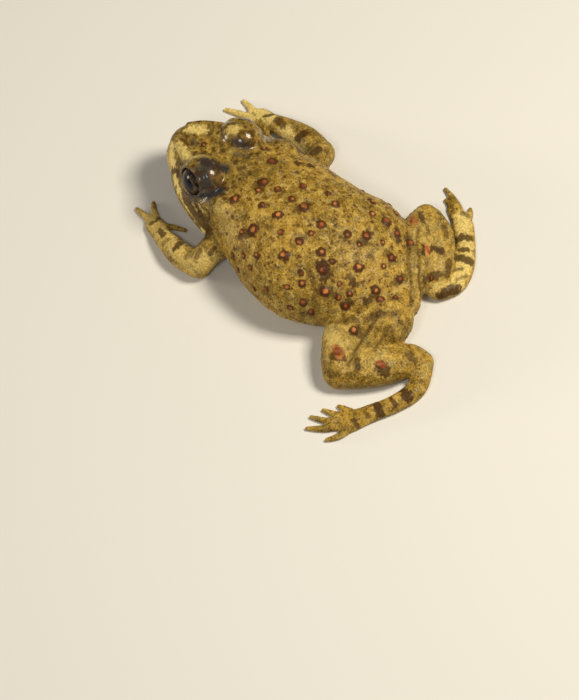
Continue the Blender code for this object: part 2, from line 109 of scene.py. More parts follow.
# Eyes and their lids
EYE_CENTRE = (6.3, -16.8, 12.65)
EYE_RADIUS = 3.0
EYE_CLEARANCE = 0.06
LID_CENTRE = (5.2, -16.3, 12.5)
LID_RADII = (4.0, 4.5, 4.1)
EYE_LOOKS = (0.90, -0.30, 0.28)
LID_OPENING = (2.85, 2.55)
LID_RIM_RISE = 0.10
LID_CREASE_DEPTH = 0.12

# The opening between the lids: how far out each ring of it is, and how much wider than the opening
OPENING_RINGS = ((1.2, 0.95), (3.3, 1.0), (7.0, 1.2))
OPENING_SIDES = 40

# Round the opening: where the rim, the crease and the dark line of painted shade at the lid's edge are, in
# openings, and how wide
LID_RIM = (1.12, 0.10)
LID_CREASE = (1.38, 0.09)
LID_LINE = (1.0, 0.07)
LID_EDGE_SHADE_STRENGTH = 0.5
LID_WET_REACH = (4.6, 6.0)

# The eye's colours by the share of its radius, across and up from where it looks
PUPIL_REACH = (0.58, 0.42)
PUPIL_FADE = (0.94, 1.06)
PUPIL_RING = (1.16, 0.10)
IRIS_REACH = 0.86
IRIS_FADE = (0.9, 1.08)

# Head forms
PAROTOID_CENTRE = (7.7, -8.6, 12.6)
PAROTOID_RADII = (2.7, 3.1, 2.0)
CANTHUS = ((4.9, -20.0, 13.3, 1.1), (3.2, -23.4, 12.9, 1.0), (1.9, -25.7, 12.0, 0.85))
NOSTRIL_CENTRE = (1.7, -26.1, 11.2)
NOSTRIL_RADII = (0.42, 0.30, 0.36)
EARDRUM_PIXEL = (205, 216)
EARDRUM_RADIUS = 1.2
EARDRUM_DEPTH = 0.14
EARDRUM_GROOVE = (1.0, 0.16)
EARDRUM_SWELL = (1.3, 0.2)
EARDRUM_SWELL_SHARE = 0.6
EARDRUM_SHADE = 0.6

# Limbs as routes: x, y, z, half width and half height at each point
UPPER_ARM_L = ((8.0, -7.8, 5.2, 3.0, 3.2), (12.4, -8.6, 4.3, 2.5, 2.8), (15.7, -9.2, 2.9, 2.4, 2.7))
FOREARM_L = ((15.7, -9.1, 2.5, 2.4, 2.7), (16.0, -13.0, 2.3, 2.3, 2.4),
             (15.1, -16.8, 1.8, 1.9, 1.9), (14.4, -19.2, 1.3, 1.6, 1.4))
PALM_L = ((14.3, -18.9, 1.2, 1.6, 1.3), (13.2, -21.4, 0.8, 1.9, 0.95), (12.5, -22.7, 0.6, 1.4, 0.8))
UPPER_ARM_R = ((-8.0, -5.6, 5.2, 3.2, 3.2), (-13.0, -5.9, 4.3, 2.7, 2.8), (-17.2, -7.0, 2.9, 2.4, 2.7))
FOREARM_R = ((-17.3, -7.0, 2.5, 2.4, 2.7), (-18.3, -11.5, 2.3, 2.3, 2.4),
             (-18.1, -16.0, 1.8, 1.9, 1.9), (-17.7, -19.2, 1.3, 1.6, 1.4))
PALM_R = ((-17.8, -18.9, 1.2, 1.6, 1.3), (-17.3, -21.7, 0.8, 2.1, 0.95), (-16.8, -23.0, 0.6, 1.5, 0.8))
THIGH_L = ((4.9, 24.6, 4.6, 6.3, 5.0), (10.8, 22.6, 4.2, 5.0, 4.7), (15.5, 23.6, 3.3, 3.3, 3.7),
           (18.0, 25.0, 2.7, 2.5, 3.1))
SHANK_L = ((18.0, 25.6, 2.5, 2.6, 3.0), (15.2, 27.9, 2.8, 3.5, 3.2), (10.9, 31.0, 2.7, 3.9, 3.0),
           (7.1, 33.3, 2.1, 3.2, 2.3), (6.0, 35.1, 1.6, 2.5, 1.8))
FOOT_L = ((6.6, 36.0, 1.4, 2.0, 1.6), (10.8, 37.9, 1.2, 1.9, 1.5), (15.6, 36.9, 1.1, 1.7, 1.35),
          (20.0, 34.7, 0.9, 1.8, 1.15), (23.6, 32.9, 0.6, 2.2, 0.85))
THIGH_R = ((-4.6, 22.0, 4.8, 5.2, 5.2), (-10.4, 19.9, 4.2, 4.2, 4.7), (-14.9, 17.6, 3.4, 3.3, 3.8),
           (-18.2, 16.6, 2.7, 2.5, 3.1))
SHANK_R = ((-18.4, 17.6, 2.5, 2.6, 3.0), (-16.2, 20.4, 2.8, 3.5, 3.2), (-11.9, 24.1, 2.7, 3.6, 3.0),
           (-8.7, 26.5, 2.1, 2.7, 2.3), (-8.2, 27.6, 1.6, 2.0, 1.8))
FOOT_R = ((-8.3, 27.9, 1.4, 1.9, 1.6), (-11.4, 29.2, 1.2, 1.9, 1.5), (-15.0, 28.2, 1.1, 1.9, 1.35),
          (-18.6, 25.7, 0.9, 1.9, 1.15), (-22.4, 22.0, 0.6, 2.1, 0.85))

# Digits: root, knuckle and tip on the floor, with the root's half width
FINGERS_L = (
    ((12.4, -22.4), (12.6, -24.4), (12.3, -26.6), 0.72),
    ((11.9, -22.0), (10.9, -23.6), (9.3, -25.1), 0.72),
    ((12.4, -20.8), (11.3, -18.9), (10.3, -16.6), 0.66),
    ((13.6, -19.6), (13.0, -17.9), (12.6, -15.9), 0.66),
)
FINGERS_R = (
    ((-17.3, -22.4), (-18.0, -24.4), (-18.4, -26.6), 0.72),
    ((-16.3, -22.5), (-15.7, -25.3), (-14.8, -27.9), 0.72),
    ((-16.0, -21.6), (-14.5, -22.0), (-13.0, -22.7), 0.66),
    ((-16.4, -20.2), (-15.5, -18.7), (-14.4, -17.1), 0.66),
)
TOES_L = (
    ((21.6, 32.4), (22.0, 30.6), (22.2, 29.0), 0.75),
    ((22.9, 32.0), (24.0, 29.8), (24.6, 27.4), 0.75),
    ((24.2, 32.0), (26.1, 29.4), (27.2, 26.6), 0.75),
    ((24.8, 32.6), (27.6, 30.2), (29.6, 27.6), 0.8),
    ((24.4, 33.9), (27.3, 33.2), (29.3, 31.9), 0.75),
)
TOES_R = (
    ((-22.2, 20.6), (-22.5, 19.8), (-22.7, 19.2), 0.7),
    ((-22.7, 20.3), (-23.3, 18.7), (-23.7, 17.6), 0.72),
    ((-23.3, 20.3), (-24.4, 17.8), (-24.9, 15.9), 0.75),
    ((-23.8, 20.9), (-25.6, 17.7), (-26.8, 14.3), 0.8),
    ((-23.7, 21.9), (-25.0, 21.5), (-26.3, 20.6), 0.75),
)
DIGIT_TIP = 0.45
DIGIT_HEIGHT = 0.55
KNUCKLE_HEIGHT = 0.95 * DIGIT_HEIGHT
KNUCKLE_WIDTH = 0.9
KNUCKLE_THICKNESS = 0.95
TIP_HEIGHT = 0.75 * DIGIT_HEIGHT

# The rounded ends of limbs and digits: their rings, and the rings that a full quarter turn would take
CAP_RINGS = 4
CAP_TURN = CAP_RINGS + 0.35

# The mouth: its height at the snout and at the corners, its reach back and its groove
MOUTH_FRONT = 7.3
MOUTH_CORNER = 6.6
MOUTH_BACK = -11.0
MOUTH_FADE = 1.2
GROOVE_DEPTH = 0.42
GROOVE_WIDTH = 0.26
LIP_SWELL = 0.22
LIP_OFFSET = 0.95
LIP_WIDTH = 0.6 * LIP_OFFSET

# The pale band over the mouth's line, its dark bars round the snout, and how strong both are
LIP_BAND_START = (0.1, 0.5)
LIP_BAND_END = (2.0, 2.9)
LIP_BARS = 17
LIP_BARS_MIDDLE = -8
LIP_BARS_WANDER = 1.3
LIP_BARS_EDGE = (0.35, 0.75)
LIP_STRENGTH = 0.6

# How the photograph looks at the toad: degrees round from -Y and above the floor,
# pixels in a millimetre, and the pixel of the point on the floor under mid body
VIEW_ROUND = 129.3
VIEW_HEIGHT = 57.0
PIXELS = 5.48
MID_BODY_PIXEL = (292.0, 243.5)
PHOTO_SIZE = (579, 700)
LENS = 800.0
SENSOR = 36.0
CLIP_START = 0.01
RAY_START = 100

# Warts by the pixels where they show, large, middling and small, and their radii
LARGE_WARTS = (
    (278, 216), (253, 230), (235, 200), (263, 183), (321, 225), (366, 236), (386, 222),
    (324, 292), (304, 208), (273, 162), (322, 270), (284, 256), (321, 253),
)
MIDDLING_WARTS = (
    (299, 242), (292, 200), (278, 190), (303, 187), (302, 284), (303, 303), (358, 268),
    (375, 290), (380, 300), (399, 280), (347, 235), (397, 234), (391, 258), (372, 202),
    (335, 205), (345, 306), (409, 243), (414, 221), (428, 250), (353, 331), (380, 364),
    (337, 351), (430, 278),
)
SMALL_WARTS = (
    (262, 206), (258, 191), (242, 232), (233, 256), (244, 256), (257, 256), (372, 214),
    (359, 245), (383, 267), (328, 194), (339, 284), (349, 294), (382, 243), (301, 273),
    (332, 262), (311, 234), (281, 233), (338, 298), (395, 298), (264, 149), (204, 145),
)
WART_RADII = (1.05, 0.85, 0.65)
WART_RADIUS_SPREAD = (0.9, 1.1)
WART_RISE = 0.27
WART_MOAT = (1.15, 0.2)
WART_MOAT_DEPTH = 0.1
WART_RING = 0.95
WART_RING_EDGE = 0.13
WART_CORE = 0.47
WART_CORE_EDGE = (0.14, 0.08)
WART_RAGGED = 0.3
WART_STRETCH = (1.0, 1.35)
WART_CORE_SHIFT = 0.20
WART_CORE_GROWTH = (0.75, 1.15)
WART_CORE_STRENGTH = (0.5, 1.0)

# Further small warts low on the flanks, which the photograph doesn't show: how many on a side,
# where the row starts and its length along y, the share of its place each keeps to, how many
# degrees up they are from a line through the body, and how much their radii vary
FLANK_WARTS = 7
FLANK_START = -2
FLANK_LENGTH = 18
FLANK_SLACK = (0.2, 0.8)
FLANK_CLIMB = (5, 25)
FLANK_MIDDLE = (0.5, 6.0)
FLANK_RADIUS_SPREAD = (0.9, 1.15)

# Granules of the skin between the warts
GRANULES = 5200
GRANULE_RADII = (0.22, 0.48)
GRANULE_RISE = 0.22
FINE_GRANULES = 0.6
FINE_BELOW = 2.2
FINE_BESIDE = 20
FINE_AHEAD = -14
WET_FLATTENS = 0.85

# Random draws, and how fast the noise that makes edges ragged changes, in a millimetre
WART_SIZE_SEED = 8
WART_SHAPE_SEED = 3
GRANULE_SEED = 21
SPECK_SEED = 5
RAGGED_SCALE = 1.7

# Specks of the head and the back: which mark, how many, their radii, and the box that holds them
SPECKS = (
    ("dark", 420, (0.14, 0.52), ((-9.0, -27.0, 9.0), (9.0, -9.0, 17.0))),
    ("ring", 220, (0.14, 0.36), ((-15.0, -9.0, 9.0), (15.0, 26.0, 18.0))),
)
SPECK_STRENGTH = 0.75
SPECK_RAGGED = 0.8
SPECK_EDGE = (0.8, 1.2)

# The darker skin of the head: where it fades along y and z, and the noise that breaks it up
DUSK_FADE = (-12.0, -3.0)
DUSK_RISE = (3.0, 6.5)
DUSK_PATCHES = (-0.45, 0.25)

# The cream underside: up to which height, how ragged, and how far down a surface faces
PALE_RISE = (1.5, 5.5)
PALE_RAGGED = 1.5
PALE_FACING = (-0.75, -0.1)

# Marks on the skin, some of them painted shade, highlights and dark reflections: which one, half width in
# millimetres, strength, and its path of pixels
MARKS = (
    # Back and flanks
    ("dark", 0.8, 0.9, (298, 164)), ("dark", 0.7, 0.9, (311, 166)),
    ("dark", 0.6, 0.7, (244, 168)),
    ("dark", 1.3, 0.9, (322, 266), (325, 276)), ("dark", 0.8, 0.9, (352, 283)),
    ("dark", 0.9, 0.8, (408, 238), (410, 248)), ("dark", 0.6, 0.8, (388, 257), (394, 259)),
    ("dark", 0.7, 0.8, (397, 230), (398, 240)), ("dark", 0.9, 0.8, (242, 236), (252, 233)),
    ("dark", 0.9, 0.7, (256, 186), (260, 190)), ("dark", 0.7, 0.8, (366, 302), (372, 297)),
    ("dark", 0.9, 0.75, (362, 243), (369, 234)), ("dark", 0.5, 0.6, (348, 276), (356, 285)),
    ("dark", 0.8, 0.6, (395, 284), (404, 277)), ("dark", 1.0, 0.6, (298, 211), (307, 205)),
    ("dark", 0.6, 0.6, (343, 308), (350, 303)), ("dark", 0.5, 0.4, (270, 172), (268, 180)),
    ("dark", 1.2, 0.6, (318, 290), (330, 294)), ("dark", 0.4, 0.5, (340, 200), (345, 210)),
    # Right thigh and shank
    ("cream", 3.0, 0.16, (429, 232), (434, 262)),
    ("dark", 0.6, 0.8, (420, 213), (422, 221)), ("dark", 0.5, 0.9, (423, 247), (423, 254)),
    ("dark", 0.6, 0.9, (431, 248), (441, 251)), ("dark", 0.9, 0.8, (424, 280), (437, 275)),
    ("dark", 0.6, 0.7, (444, 228), (446, 236)), ("dark", 0.5, 0.6, (427, 226), (428, 233)),
    ("dark", 0.7, 0.7, (449, 262), (447, 276)), ("dark", 0.7, 0.7, (440, 214), (452, 222)),
    ("core", 0.8, 0.45, (411, 217), (414, 223)), ("core", 0.6, 0.7, (427, 248), (427, 253)),
    # A painted highlight along the ridge between the hip folds
    ("cream", 0.5, 0.22, (413, 232), (412, 246), (414, 262), (415, 284), (417, 298)),
    # Right foot: a cream strip with bars
    ("cream", 1.5, 0.75, (463, 218), (466, 245), (465, 264), (458, 282)),
    ("cream", 1.0, 0.5, (434, 290), (448, 285)),
    ("dark", 0.8, 0.88, (457, 241), (462, 237), (470, 238)), ("dark", 0.5, 0.85, (460, 250), (467, 250)),
    ("dark", 0.8, 0.88, (455, 258), (462, 258), (471, 262)), ("dark", 0.4, 0.7, (455, 270), (461, 269)),
    ("dark", 0.4, 0.6, (457, 279), (466, 276)), ("dark", 1.1, 0.9, (442, 295), (455, 289)),
    ("dark", 0.4, 0.6, (452, 205), (454, 212)), ("dark", 0.5, 0.6, (463, 213), (468, 216)),
    # Left thigh, shank and foot
    ("cream", 3.0, 0.18, (342, 344), (372, 356)),
    ("core", 0.8, 0.6, (335, 348), (339, 354)), ("core", 0.6, 0.7, (379, 363), (382, 365)),
    ("cream", 1.4, 0.45, (328, 330), (335, 345)),
    ("dark", 0.7, 0.85, (332, 356), (343, 358)), ("dark", 0.7, 0.7, (356, 330), (360, 336)),
    ("dark", 1.1, 0.85, (379, 368), (384, 371)), ("dark", 0.6, 0.8, (357, 360), (357, 367)),
    ("dark", 0.8, 0.7, (408, 355), (414, 360)), ("dark", 0.7, 0.6, (347, 322), (352, 318)),
    ("dark", 0.7, 0.7, (374, 316), (381, 313)), ("dark", 0.9, 0.9, (399, 386), (408, 397)),
    ("dark", 0.45, 0.8, (390, 398), (395, 405)), ("dark", 0.85, 0.9, (375, 404), (381, 414)),
    ("dark", 0.4, 0.6, (364, 411), (368, 417)), ("dark", 0.5, 0.8, (353, 420), (359, 428)),
    # Left arm
    ("cream", 1.7, 0.42, (140, 207), (152, 216), (161, 232), (178, 252)),
    ("cream", 2.2, 0.45, (188, 264), (210, 262)),
    ("dark", 0.4, 0.75, (151, 224), (159, 218)), ("dark", 0.6, 0.85, (160, 230), (164, 235)),
    ("dark", 0.5, 0.5, (163, 244), (168, 240)), ("dark", 0.65, 0.9, (175, 249), (181, 243)),
    ("dark", 0.5, 0.6, (187, 257), (190, 252)), ("dark", 0.5, 0.65, (197, 257), (200, 251)),
    ("dark", 0.45, 0.8, (210, 254), (214, 249)),
    # Right arm
    ("cream", 1.3, 0.8, (244, 99), (254, 108), (270, 116)), ("cream", 1.4, 0.8, (284, 130), (302, 148)),
    ("cream", 0.9, 0.7, (227, 109), (240, 112), (252, 116)), ("dark", 0.6, 0.3, (290, 123), (306, 134)),
    ("dark", 0.5, 0.85, (265, 115), (273, 113)), ("dark", 0.8, 0.85, (277, 119), (283, 124)),
    ("dark", 0.85, 0.9, (298, 138), (305, 132)), ("dark", 0.8, 0.85, (312, 153), (319, 148)),
    # Head: the pale lip, the dark cheek, partly painted shade, the spots, and painted dark reflections on
    # the lids
    ("cream", 1.0, 1.0, (172, 146), (171, 158), (174, 167)), ("dark", 0.7, 0.9, (173, 171), (180, 174)),
    ("cream", 0.8, 1.0, (175, 178), (178, 187), (182, 197)), ("dark", 0.35, 0.8, (177, 187)),
    # The dark cheek under the eye, partly painted shade
    ("dark", 2.0, 0.85, (187, 201), (196, 212), (205, 229)),
    ("cream", 0.42, 1.0, (183, 201), (190, 212), (204, 232)),
    ("cream", 0.25, 0.6, (193, 204), (197, 211)),
    ("cream", 0.25, 0.6, (199, 205), (203, 212)), ("dark", 0.6, 0.7, (183, 141), (187, 145)),
    # A painted dark reflection beside the nostrils, then spots of the snout and lids
    ("painted_dark_reflection", 0.6, 0.6, (193, 141), (196, 145)), ("dark", 0.5, 0.8, (188, 154)),
    ("dark", 0.5, 0.8, (204, 153)), ("dark", 0.5, 0.7, (224, 137)),
    ("dark", 0.4, 0.7, (211, 134)),
    # Painted dark reflections and shade on the wet lids, with dark spots and orange flecks
    ("dark", 0.6, 0.75, (241, 133), (252, 134)), ("painted_dark_reflection", 0.95, 0.85, (236, 142), (247, 146)),
    ("painted_dark_reflection", 0.6, 0.5, (236, 154), (247, 157)), ("painted_dark_reflection", 1.4, 0.95, (205, 163), (222, 168)),
    ("painted_dark_reflection", 1.0, 0.95, (192, 195), (208, 196), (222, 191)),
    ("painted_dark_reflection", 2.2, 0.88, (204, 174), (206, 187)),
    # Painted dark reflections darkening the left lid's wet dome
    ("dark", 0.7, 0.4, (206, 163), (217, 166)), ("dark", 1.1, 0.5, (216, 173), (221, 184)),
    ("core", 0.35, 0.5, (247, 138)), ("core", 0.35, 0.4, (257, 140)),
    ("core", 0.32, 0.28, (211, 173), (213, 178)),
    ("cream", 1.3, 0.7, (177, 148), (184, 153)), ("cream", 1.0, 0.75, (190, 130), (203, 131)),
    ("cream", 0.8, 0.5, (189, 158), (199, 156)), ("wet", 1.8, 0.85, (197, 133), (207, 141)),
    # Pale granular neck, and the pale front of the right lid, partly a painted highlight
    ("cream", 1.5, 0.22, (219, 208), (225, 222), (231, 240)),
    # The pale front of the right lid, partly a painted highlight
    ("cream", 0.8, 0.55, (228, 131), (236, 129)),
)

# Marks of the left cheek and lip that the hidden right side repeats; the dark cheek band is partly painted
# shade
CHEEK_MARKS = (
    ("dark", 1.8, 0.75, (187, 201), (196, 212), (205, 229)),
    ("cream", 0.42, 0.9, (183, 201), (190, 212), (204, 232)),
    ("cream", 0.7, 0.7, (175, 178), (178, 187), (182, 197)),
)

# Creases: depth and width in millimetres, and the path of pixels
CREASES = (
    (0.20, 0.40, (406, 222), (409, 240), (407, 262), (411, 282), (411, 305)),
    (0.18, 0.36, (418, 228), (416, 242), (420, 262), (418, 282), (422, 298)),
    (0.09, 0.30, (413, 240), (414, 270), (416, 295)),
    (0.26, 0.40, (347, 364), (357, 349), (367, 333), (376, 318)),
    (0.20, 0.35, (374, 350), (382, 339), (390, 327)),
    (0.14, 0.45, (330, 322), (360, 322), (400, 312)),
    (0.14, 0.38, (187, 248), (190, 256), (197, 263)),
    (0.10, 0.34, (206, 247), (208, 255), (213, 261)),
)
CREASE_SWELL = (2.2, 0.9)
CREASE_SWELL_SHARE = 0.3
CREASE_SHADE = 3.0
PATH_STEP = 1.5

# How soft the marks' edges are, as a share of their half width
SOFT_EDGES = {"painted_dark_reflection": 0.75, "cream": 0.45}
FIRM_EDGE = 0.25
MARK_RAGGED = 0.7
MARK_REACH = (2.2, 0.3)

MARK_NAMES = ("core", "ring", "dark", "cream", "painted_dark_reflection", "pale", "wet", "dusk")

# Noises of the skin: waves in a millimetre, detail and distortion
SKIN_NOISES = {
    "broad": (0.16, 2.0, 0.0),
    "middle": (0.75, 4.0, 0.4),
    "fine": (3.2, 3.0, 0.0),
    "patchy": (0.38, 3.0, 0.6),
    "loose": (0.55, 3.0, 0.3),
}

# The skin's ground from olive to gold, and the layers over it: the noise of each, where on it the
# layer starts and where it is full, how strong it is there, and its colour
GROUND_EDGE = (0.36, 0.64)
OLIVE = (0.29, 0.174, 0.022)
GOLD = (0.42, 0.247, 0.034)
GROUND_LAYERS = (
    ("patchy", 0.50, 0.34, 0.70, (0.15, 0.090, 0.012)),
    ("loose", 0.50, 0.66, 0.60, (0.31, 0.225, 0.08)),
    ("middle", 0.50, 0.68, 0.60, (0.60, 0.405, 0.09)),
    ("middle", 0.48, 0.32, 0.75, (0.095, 0.050, 0.006)),
    ("fine", 0.50, 0.36, 0.42, (0.075, 0.038, 0.005)),
    ("fine", 0.54, 0.68, 0.38, (0.66, 0.475, 0.14)),
)

# Dark dots and painted pale glints: cells in a millimetre, a dot's edge and core, the noise that thins
# them out and where on it, their strength and colour
DOTS = (
    (1.15, (0.28, 0.17), "fine", (0.40, 0.54), 0.9, (0.045, 0.018, 0.006)),
    # Painted pale glints on the granules
    (1.7, (0.22, 0.10), "middle", (0.50, 0.58), 0.7, (0.74, 0.62, 0.32)),
)

# Colours of the marks, two of them from dull to bright by a noise
DUSK = (0.115, 0.075, 0.016)
DUSK_STRENGTH = 0.5
CREAM = ((0.64, 0.45, 0.115), (0.90, 0.71, 0.255))
CREAM_EDGE = (0.38, 0.56)
# Colour of the painted dark reflections on the wet lids
DARK_REFLECTION_COLOUR = (0.013, 0.019, 0.031)
# Dark marks, and the painted shade of creases, the eardrums' grooves, the lids' edges and the cheeks
DARK = (0.056, 0.023, 0.004)
RING = (0.070, 0.022, 0.006)
RING_STRENGTH = 0.95
ORANGE = ((0.33, 0.078, 0.020), (0.64, 0.24, 0.068))
ORANGE_EDGE = (0.42, 0.6)
PALE = (0.55, 0.42, 0.20)

# The skin's surface, dry and where it is wet, and its grain
DRY_ROUGHNESS = 0.5
WET_ROUGHNESS = 0.13
DRY_COAT = 0.05
WET_COAT = 0.5
WET_GRAIN = 0.08
SKIN_COAT_ROUGHNESS = 0.16
WATER_IOR = 1.38
SPECULAR = 0.12
GRAIN_CELLS = 2.4
GRAIN_CELL_EDGE = (0.7, 0.1)
GRAIN_FINE = 0.6
GRAIN_STRENGTH = 0.6
GRAIN_HEIGHT = 0.10

# The eye's surface, and its dark ball, iris and flecks, pupil and the pupil's thin edge
EYE_ROUGHNESS = 0.2
EYE_COAT = 0.4
EYE_COAT_ROUGHNESS = 0.03
EYE_NET = (1.6, 5.0, 1.2)
EYE_FLECK_EDGE = (0.50, 0.64)
EYE_BALL = (0.010, 0.011, 0.018)
EYE_IRIS = (0.010, 0.009, 0.013)
EYE_FLECKS = (0.085, 0.050, 0.017)
EYE_PUPIL = (0.003, 0.004, 0.008)
EYE_RING = (0.15, 0.095, 0.035)
EYE_RING_STRENGTH = 0.5

# Floor and light of the studio
FLOOR_HALF = 3.0
FLOOR_COLOUR = (0.72, 0.70, 0.66)
FLOOR_ROUGHNESS = 0.9
WORLD_COLOUR = (0.90, 0.87, 0.82)
WORLD_STRENGTH = 0.15
LIT_POINT = (0, 0, 5)

# Soft lights: the axes and the direction towards each, its distance and size in metres, watts, colour
LIGHTS = (
    ("key", "view", (0.50, 0.46, 0.74), 0.45, 0.13, 1.98, (1.0, 0.93, 0.78)),
    ("front", "view", (-0.20, -0.02, 1.0), 0.55, 0.10, 0.58, (1.0, 0.98, 0.93)),
    ("low", "toad", (0.6, -0.8, 0.22), 0.55, 0.12, 0.85, (1.0, 0.90, 0.72)),
    ("fill", "view", (-0.7, 0.1, 0.6), 0.6, 0.5, 0.12, (1.0, 0.95, 0.88)),
)

FLESH_NODES = (
    "head", "torso", "upper_arm_left", "forearm_left", "hand_left", "upper_arm_right",
    "forearm_right", "hand_right", "thigh_left", "shank_left", "foot_left", "thigh_right",
    "shank_right", "foot_right",
)


def spline(rows, place):
    """The row at a place from 0 to the last index, on a smooth curve through all rows."""
    index = min(int(place), len(rows) - 2)
    share = place - index
    before = rows[max(index - 1, 0)]
    here = rows[index]
    there = rows[index + 1]
    after = rows[min(index + 2, len(rows) - 1)]
    result = []
    for p0, p1, p2, p3 in zip(before, here, there, after):
        slope_here = (p2 - p0) * 0.5
        slope_there = (p3 - p1) * 0.5
        square = share * share
        cube = square * share
        result.append(
            (2 * cube - 3 * square + 1) * p1
            + (cube - 2 * square + share) * slope_here
            + (-2 * cube + 3 * square) * p2
            + (cube - square) * slope_there
        )
    return result


def power(value, exponent):
    return math.copysign(abs(value) ** exponent, value)


def link(mesh, name):
    thing = bpy.data.objects.new(name, mesh)
    bpy.context.scene.collection.objects.link(thing)
    return thing


def from_faces(bm, name):
    """A thing of the faces made so far."""
    mesh = bpy.data.meshes.new(name)
    bm.to_mesh(mesh)
    bm.free()
    return link(mesh, name)


def loft(name, rings):
    """A closed skin over a row of rings, with a point at the middle of each end."""
    bm = bmesh.new()
    rows = [[bm.verts.new(point) for point in ring] for ring in rings]
    for row, following in zip(rows, rows[1:]):
        for i, corner in enumerate(row):
            j = (i + 1) % len(row)
            bm.faces.new((corner, row[j], following[j], following[i]))
    for row in (rows[0], rows[-1]):
        middle = bm.verts.new(sum((v.co for v in row), Vector()) / len(row))
        for i, corner in enumerate(row):
            bm.faces.new((corner, row[(i + 1) % len(row)], middle))
    bmesh.ops.recalc_face_normals(bm, faces=bm.faces)
    return from_faces(bm, name)


def around(sides):
    """The angles of a ring's corners."""
    return [2 * math.pi * i / sides for i in range(sides)]


def body_ring(row):
    """The cross-section of the head or torso that a row of its stations gives."""
    along, middle, half_width, top, bottom, widest = row
    ring = []
    for angle in around(BODY_SIDES):
        across = power(math.cos(angle), 2 / BODY_ROUNDNESS)
        up = power(math.sin(angle), 2 / BODY_ROUNDNESS)
        height = (top - widest) if up > 0 else (widest - bottom)
        ring.append(Vector((middle + half_width * across, along, widest + height * up)))
    return ring


def trunk():
    """Head and torso in one piece."""
    steps = BODY_STEPS * (len(BODY_STATIONS) - 1)
    return loft("trunk", [body_ring(spline(BODY_STATIONS, i / BODY_STEPS)) for i in range(steps + 1)])


def tube(name, route, sides, steps):
    """A limb along its route, wide and high as each point says, with round ends."""
    rows = [spline(route, i / steps) for i in range(steps * (len(route) - 1) + 1)]
    places = [Vector(row[:3]) for row in rows]
    ahead = [(places[min(i + 1, len(places) - 1)] - places[max(i - 1, 0)]).normalized()
             for i in range(len(places))]
    rings = []
    for end, order in ((0, range(CAP_RINGS, 0, -1)), (-1, range(1, CAP_RINGS + 1))):
        if end == -1:
            rings.extend(section(places[i], ahead[i], rows[i][3], rows[i][4], sides)
                         for i in range(len(rows)))
        outward = -ahead[0] if end == 0 else ahead[-1]
        for step in order:
            turn = 0.5 * math.pi * step / CAP_TURN
            half_width = rows[end][3]
            place = places[end] + outward * half_width * math.sin(turn)
            shrink = math.cos(turn)
            rings.append(section(place, ahead[end], half_width * shrink, rows[end][4] * shrink, sides))
    return loft(name, rings)


def section(place, ahead, half_width, half_height, sides):
    across = ahead.cross(Vector((0, 0, 1))).normalized()
    up = across.cross(ahead).normalized()
    return [place + across * half_width * math.cos(angle) + up * half_height * math.sin(angle)
            for angle in around(sides)]


def digit(name, root, knuckle, tip, half_width):
    rows = (
        (*root, DIGIT_HEIGHT, half_width, half_width),
        (*knuckle, KNUCKLE_HEIGHT, half_width * KNUCKLE_WIDTH, half_width * KNUCKLE_THICKNESS),
        (*tip, TIP_HEIGHT, DIGIT_TIP, DIGIT_TIP),
    )
    return tube(name, rows, *DIGIT_FINENESS)


def ellipsoid(name, centre, radii, segments, rings):
    bm = bmesh.new()
    bmesh.ops.create_uvsphere(bm, u_segments=segments, v_segments=rings, radius=1.0)
    bmesh.ops.scale(bm, vec=Vector(radii), verts=bm.verts)
    bmesh.ops.translate(bm, vec=Vector(centre), verts=bm.verts)
    return from_faces(bm, name)


def sided(point, side):
    """The point on the toad's left, side 1, or mirrored on its right, side -1."""
    return Vector((side * point[0], point[1], point[2]))


def flesh_pieces():
    pieces = [trunk()]
    for side in (1, -1):
        pieces.append(ellipsoid("lid", sided(LID_CENTRE, side), LID_RADII, *LID_FINENESS))
        gland = sided(PAROTOID_CENTRE, side)
        pieces.append(ellipsoid("parotoid", gland, PAROTOID_RADII, *LID_FINENESS))
        route = [(side * x, y, z, r, r) for x, y, z, r in CANTHUS]
        pieces.append(tube("canthus", route, *CANTHUS_FINENESS))
    limbs = (UPPER_ARM_L, FOREARM_L, PALM_L, UPPER_ARM_R, FOREARM_R, PALM_R,
             THIGH_L, SHANK_L, FOOT_L, THIGH_R, SHANK_R, FOOT_R)
    for route in limbs:
        pieces.append(tube("limb", route, *LIMB_FINENESS))
    for digits in (FINGERS_L, FINGERS_R, TOES_L, TOES_R):
        for root, knuckle, tip, half_width in digits:
            pieces.append(digit("digit", root, knuckle, tip, half_width))
    return pieces


def join(pieces, name):
    """All pieces' faces in one mesh."""
    bm = bmesh.new()
    for piece in pieces:
        bm.from_mesh(piece.data)
        bpy.data.objects.remove(piece)
    return from_faces(bm, name)


def apply_modifiers(thing):
    """The thing's mesh as its modifiers leave it."""
    graph = bpy.context.evaluated_depsgraph_get()
    graph.update()
    mesh = bpy.data.meshes.new_from_object(thing.evaluated_get(graph), depsgraph=graph)
    thing.modifiers.clear()
    thing.data = mesh
    return thing


def fuse(thing, voxel, smoothing):
    """Makes one closed skin of all the faces, with soft creases where pieces meet."""
    remesh = thing.modifiers.new("fuse", "REMESH")
    remesh.mode = "VOXEL"
    remesh.voxel_size = voxel
    smooth = thing.modifiers.new("smooth", "SMOOTH")
    smooth.factor = SMOOTHING_FACTOR
    smooth.iterations = smoothing
    return apply_modifiers(thing)


def cut_away(thing, cutters):
    """Takes the cutters' space out of the thing, all at once."""
    group = bpy.data.collections.new("cutters")
    for cutter in cutters:
        group.objects.link(cutter)
    boolean = thing.modifiers.new("cut", "BOOLEAN")
    boolean.operation = "DIFFERENCE"
    boolean.operand_type = "COLLECTION"
    boolean.solver = "EXACT"
    boolean.collection = group
    apply_modifiers(thing)
    for cutter in cutters:
        bpy.data.objects.remove(cutter)
    bpy.data.collections.remove(group)


